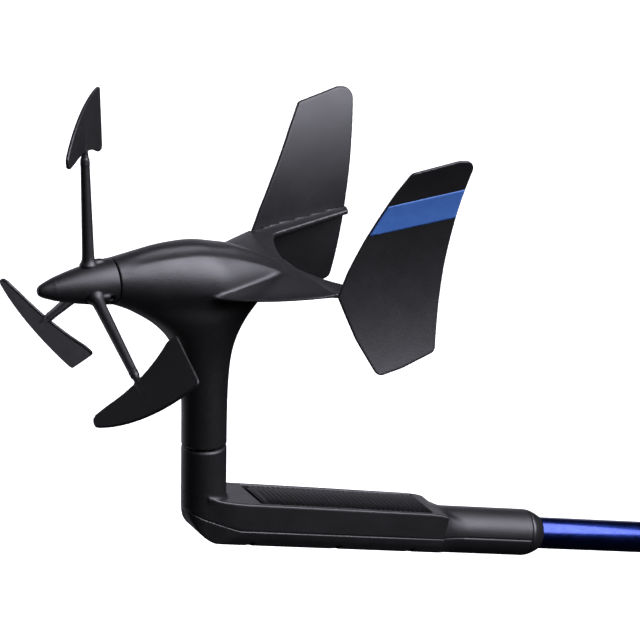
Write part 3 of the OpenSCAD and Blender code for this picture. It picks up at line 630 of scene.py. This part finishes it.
def build_rotor():
    to_row = lambda p: from_head(p + np.array([ROTOR_X, 0, 0]))
    moulded_piece("spinner_cap", spinner, (-26.5, -13, -13), (11.5, 13, 13), to_row, "rotor",
                  LOOKS["shell_plastic"], ["spinner"], CELL * 0.75)
    verts, quads = surface_net(blade, (-22, -26, 6), (20, 26, 90), CELL * 0.85)
    verts = settle(blade, verts, CELL)
    for k, name in enumerate(("top", "right", "left")):
        sine, cosine = spoke_turn(k)
        x, y, z = verts.T
        placed = np.stack([x, y * cosine + z * sine, z * cosine - y * sine], 1)
        piece("rotor_blade_" + name, to_row(placed), quads, "rotor", LOOKS["blade_plastic"], "blade_" + name)


# ---- arm ----

ARM_HALF, ARM_DEPTH, COLLAR_R, COLLAR_END, STEM_R, ELBOW_R = 15.5, 9.6, 11.8, 182.0, 10.95, 23.3
HOUSING_END, NECK_END = 128.3, 143
TUBE_R, TUBE_WALL, TUBE_START, TUBE_END = 8.0, 1.2, 150.0, 375.0
RING_LEN = 7.8
PANEL_START, PANEL_LEN, PANEL_HALF, PANEL_SLOT, RIBS = 25.5, 94.0, 12.9, 3.0, 33
arm_top = spline([-20, 0, 60, 112, 118, 123, 128, 132, 136, 140, 150],
                 [14.1, 14, 13.6, 13.1, 13, 12.7, 11.8, 10.4, 8.7, 7.6, 6.5])
NECK_S, NECK_R = [126, 129, 131, 133, 136, 139, 143], [14.6, 14, 13.4, 12.8, 12, 11.2, 9.8]
arm_width = spline([-12, -2.5, 2, 6, 10, 15, 20, 26], [8.6, 10.7, 12.3, 13.6, 14.6, 15.3, 15.5, 15.5])
SECTION = np.array([[-15.5, 40], [-15.5, -0.2], [-14.6, -4], [-13.1, -7.7], [-9, -9.6],
                    [9, -9.6], [13.1, -7.7], [14.6, -4], [15.5, -0.2], [15.5, 40]])
SCREW_S, SCREW_Y, SCREW_SEAT = (22, 70, 112), 11.1, 4.6
SEAM_HALF, SEAM_SOFT = 0.04, 0.12


def upright(s, h):
    """x and height above the elbow point, from the arm's own s and h."""
    return s * COS + h * SIN, h * COS - s * SIN


def housing(s, y, h):
    x, z = upright(s, h)
    side = np.abs(y)
    centre_x, centre_h = ELBOW_R - STEM_R, ELBOW_R - ARM_DEPTH
    centre_z = (centre_h - centre_x * SIN) / COS
    centre_s = centre_x * COS - centre_z * SIN
    bend = np.hypot(x - centre_x, z - centre_z) - ELBOW_R
    low = np.where((z < centre_z) & (s < centre_s), bend, np.maximum(-STEM_R - x, -ARM_DEPTH - h))
    width = np.minimum(arm_width(x), ARM_HALF)
    front = np.hypot(x, y) - STEM_R + 1.5 * np.clip(z - 8.5, 0, 1)
    plan = np.where(x < -2.5, front, (side - width) * 0.93)
    body = smooth_max(low, plan, 1)
    body = smooth_max(body, outline_distance(SECTION, y, h), 0.6)
    neck = (np.hypot(y, h) - np.interp(s, NECK_S, NECK_R)) * 0.9
    body = smooth_max(body, np.minimum(s - HOUSING_END, np.maximum(neck, s - NECK_END)), 0.6)
    return smooth_max(body, (h - arm_top(s)) * 0.97, 1.0)


def arm_solid(s, y, h):
    x, z = upright(s, h)
    stem = np.hypot(x, y) - STEM_R
    lip = np.maximum(z - STEM_TOP, (stem + z - STEM_TOP) * 0.707 + 0.75)
    stem = np.maximum(np.maximum(stem, lip), 8 - z)
    collar = np.hypot(y, h) - COLLAR_R
    collar = np.maximum(np.maximum(collar, s - COLLAR_END), 108 - s)
    body = smooth_min(housing(s, y, h), stem, 0.3 + 2 * np.clip((h - 11) / 3, 0, 1))
    return smooth_min(body, collar, 1.5)


def arm_hollow(s, y, h):
    """Recess for the panel, electronics bay, socket, stem chamber and their bosses."""
    x, z = upright(s, h)
    recess = np.maximum(np.abs(s - PANEL_START - (PANEL_LEN - PANEL_SLOT) / 2) - (PANEL_LEN + PANEL_SLOT) / 2,
                        np.maximum(np.abs(y) - PANEL_HALF,
                                   arm_top(np.minimum(s, 118)) - np.where(s < PANEL_START, 3.8, 2) - h))
    bay = np.maximum(np.maximum(np.abs(y) - 13.2, np.abs(h - 1.3) - 8.7), np.abs(s - 66) - 52)
    bay = np.maximum(bay, outline_distance(SECTION, y, h) + 2.2)
    for at in SCREW_S:
        across = np.hypot(s - at, np.abs(y) - SCREW_Y)
        bay = np.minimum(np.maximum(bay, 2.9 - across), np.maximum(across - 2.5, h + SCREW_SEAT))
    socket = np.maximum(np.hypot(y, h) - TUBE_R, TUBE_START - s)
    duct = np.maximum(np.hypot(y, h) - 6, np.abs(s - 140) - 30)
    spindle = np.maximum(np.hypot(x, y) - 4, 14 - z)
    chamber = np.maximum(np.hypot(x, y) - 8, np.abs(z - 13) - 8)
    mouth = np.maximum(np.hypot(x, y) - 8.4, STEM_TOP - 2 - z)
    return functools.reduce(np.minimum, (recess, bay, socket, duct, spindle, chamber, mouth))


def parting(s, h):
    """Height above the surface where the two shells meet, which climbs round the elbow's front."""
    x, z = upright(s, h)
    seam = np.interp(x, [-14, -4, 13 * COS, 200], [9.8, 4.2, -13 * SIN, -200 * SIN / COS])
    return (z - seam) * 0.93


def arm_walls(s, y, h):
    return np.maximum(arm_solid(s, y, h), -arm_hollow(s, y, h))


def upper_shell(s, y, h):
    return smooth_max(arm_walls(s, y, h), SEAM_HALF - parting(s, h), SEAM_SOFT)


def lower_shell(s, y, h):
    return smooth_max(arm_walls(s, y, h), parting(s, h) + SEAM_HALF, SEAM_SOFT)


def build_panel():
    """Ribbed panel: thin crests across it, crowned down towards both sides."""
    gap, thick, crest = 0.25, 2.0, 1.2
    length, half = PANEL_LEN - 2 * gap, PANEL_HALF - gap
    pitch = length / RIBS
    steps = [0, 0.1, 0.2, 0.3, 0.38, 0.44, 0.5, 0.56, 0.62, 0.7, 0.8, 0.9]
    rise = [0, 0, 0, 0.06, 0.5, 0.93, 1, 0.93, 0.5, 0.06, 0, 0]
    s = np.array([(i + t) * pitch for i in range(RIBS) for t in steps] + [length])
    ribs = np.array(rise * RIBS + [0])
    y = half * np.sin(np.linspace(-1, 1, 49) * math.pi / 2)
    u = np.abs(y) / half
    crown = 0.9 - 0.7 * u**2 - 1.1 * u**6
    top = thick - crest + 0.15 + crown[None, :] * 0.6 + ribs[:, None] * (crest + crown[None, :] * 0.4)
    along = PANEL_START + gap + s
    base = (arm_top(np.minimum(along, 118)) - thick)[:, None]
    grid = [np.broadcast_to(along[:, None], top.shape), np.broadcast_to(y[None, :], top.shape)]
    upper = np.stack([*grid, base + np.maximum(top, 0.2)], 2).reshape(-1, 3)
    lower = np.stack([*grid, np.broadcast_to(base, top.shape)], 2).reshape(-1, 3)
    piece("ribbed_panel", from_arm(np.concatenate([upper, lower])), sheet_faces(*top.shape), "arm",
          LOOKS["panel_plastic"], "ribbed_top_panel")


def build_arm():
    shell = LOOKS["shell_plastic"]
    moulded_piece("upper_housing", upper_shell, (-21, -16, -1), (188, 16, 42), from_arm, "arm", shell,
                  ["arm_upper_shell"])
    moulded_piece("lower_housing", lower_shell, (-21, -16, -12), (188, 16, 14), from_arm, "arm", shell,
                  ["arm_lower_shell"])
    build_panel()
    ring = np.concatenate([[[0.15, TUBE_R], [0.15, 11.5], [0.4, 11.72]],
                           bezier([1.8, 11.55], [3.6, 11.1], [6.2, 9.9], [RING_LEN, 9], 10),
                           [[RING_LEN, TUBE_R]]]) + [COLLAR_END, 0]
    lathe("collar_bezel", ring[::-1], "arm", LOOKS["ring_plastic"], ["collar_end_ring"])
    inside, bevel = TUBE_R - TUBE_WALL, 0.2
    tube = [[TUBE_START, inside], [TUBE_START, TUBE_R - bevel], [TUBE_START + bevel, TUBE_R],
            [TUBE_END - bevel, TUBE_R], [TUBE_END, TUBE_R - bevel], [TUBE_END, inside]]
    lathe("boom_pipe", tube[::-1], "arm", LOOKS["anodised_blue"], ["boom_tube"])


NODE_LOOKS = {
    "shell_gasket": "seal_rubber", "boom_seal": "seal_rubber", "end_plug_seal": "seal_rubber",
    "shaft_seal": "seal_rubber", "shell_screws": "black_steel", "board_screws": "stainless",
    "yaw_spindle": "stainless", "spindle_nut": "stainless", "rotor_shaft": "stainless",
    "spinner_grub_screw": "stainless", "boom_end_plug": "ring_plastic", "contact_pins": "gold_contact",
    "signal_cable": "cable_jacket", "circuit_board": "circuit_green", "direction_sensor": "circuit_green",
    "board_components": "chip_black", "rotor_pickup": "chip_black", "spindle_clip": "spring_steel",
    "shaft_clip": "spring_steel", "direction_magnet": "ferrite", "rotor_magnet": "ferrite",
    "magnet_carrier": "white_plastic", "pylon_retaining_ring": "ring_plastic",
    "rotor_bearing_housing": "alloy", "yaw_bearing_spacer": "alloy", "yaw_outer_spacer": "alloy",
    "rotor_bearing_spacer": "alloy",
}


def dress_nodes():
    """Gives every CAD node that stays in view its procedural material."""
    for name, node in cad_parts.items():
        look = LOOKS[NODE_LOOKS.get(name, "bearing_steel")]
        if not node.material_slots:
            node.data.materials.append(look)
        for held in node.material_slots:
            held.material = look


# ---- stage ----


AIM = HEAD + Vector((44.9, -32.0, -22.3)) * MM
VIEW_AZIMUTH, VIEW_ELEVATION, VIEW_ROLL, VIEW_DISTANCE, VIEW_LENS = -26.59, 20.77, 1.12, 1.6602, 198.7
LIGHT_COLOUR = (0.95, 0.94, 1.08)
FLOOR_HALF, FLOOR_DROP = 30.0, 0.45


def direction(azimuth, elevation):
    """Unit vector towards a place round the part; 0, 0 is in front of its near side."""
    a, e = math.radians(azimuth), math.radians(elevation)
    return Vector((math.sin(a) * math.cos(e), -math.cos(a) * math.cos(e), math.sin(e)))


def area_light(name, azimuth, elevation, distance, size, power):
    away = direction(azimuth, elevation)
    data = bpy.data.lights.new(name, "AREA")
    data.shape, data.size, data.size_y, data.energy = "RECTANGLE", size[0], size[1], power
    data.color = LIGHT_COLOUR
    lamp = bpy.data.objects.new(name, data)
    lamp.location = AIM + away * distance
    lamp.rotation_euler = away.to_track_quat("Z", "Y").to_euler()
    lamp.visible_camera = False
    bpy.context.scene.collection.objects.link(lamp)


def build_camera(scene):
    away = direction(VIEW_AZIMUTH, VIEW_ELEVATION)
    data = bpy.data.cameras.new("camera")
    data.lens, data.sensor_width = VIEW_LENS, 36
    data.clip_start, data.clip_end = 0.05, 20
    camera = bpy.data.objects.new("camera", data)
    azimuth = math.radians(VIEW_AZIMUTH)
    right = Vector((math.cos(azimuth), math.sin(azimuth), 0))
    turn = Matrix.Rotation(math.radians(VIEW_ROLL), 3, away)
    axes = Matrix((turn @ right, turn @ away.cross(right), away)).transposed()
    camera.matrix_world = Matrix.Translation(AIM + away * VIEW_DISTANCE) @ axes.to_4x4()
    scene.collection.objects.link(camera)
    scene.camera = camera


def build_world(scene):
    world = bpy.data.worlds.new("studio")
    world.use_nodes = True
    world.node_tree.nodes["Background"].inputs["Color"].default_value = (0.9, 0.93, 1, 1)
    world.node_tree.nodes["Background"].inputs["Strength"].default_value = 0.016
    scene.world = world


def build_floor(scene):
    """Wide pale floor that only the camera sees, so it neither mirrors nor lights the part."""
    mesh = bpy.data.meshes.new("floor")
    level = cad_box[0][2] - FLOOR_DROP
    corners = [(x * FLOOR_HALF, y * FLOOR_HALF, level) for x, y in ((-1, -1), (1, -1), (1, 1), (-1, 1))]
    mesh.from_pydata(corners, [], [(0, 1, 2, 3)])
    floor = bpy.data.objects.new("floor", mesh)
    scene.collection.objects.link(floor)
    paint = Shader("floor_paint", Roughness=0.9, Specular_IOR_Level=0.1, Emission_Color=(1, 1, 1, 1),
                   Emission_Strength=1.0)
    paint.colour(paint.ramp(paint.noise(3, 2), ((0.3, (0.88, 0.88, 0.88)), (0.7, (0.9, 0.9, 0.9)))))
    mesh.materials.append(paint.material)
    floor.visible_glossy = False
    floor.visible_diffuse = False
    floor.visible_shadow = False


def build_stage():
    scene = bpy.context.scene
    scene.view_settings.view_transform = "Standard"
    build_camera(scene)
    build_world(scene)
    build_floor(scene)
    area_light("key", 36, 46, 1.5, (1.4, 1.6), 84)
    area_light("back_panel", 183, 0, 2.4, (4.5, 2.4), 33)
    area_light("low_back", -154, -53, 1.8, (0.8, 0.8), 1.4)


build_stage()
build_head()
build_rotor()
build_arm()
dress_nodes()
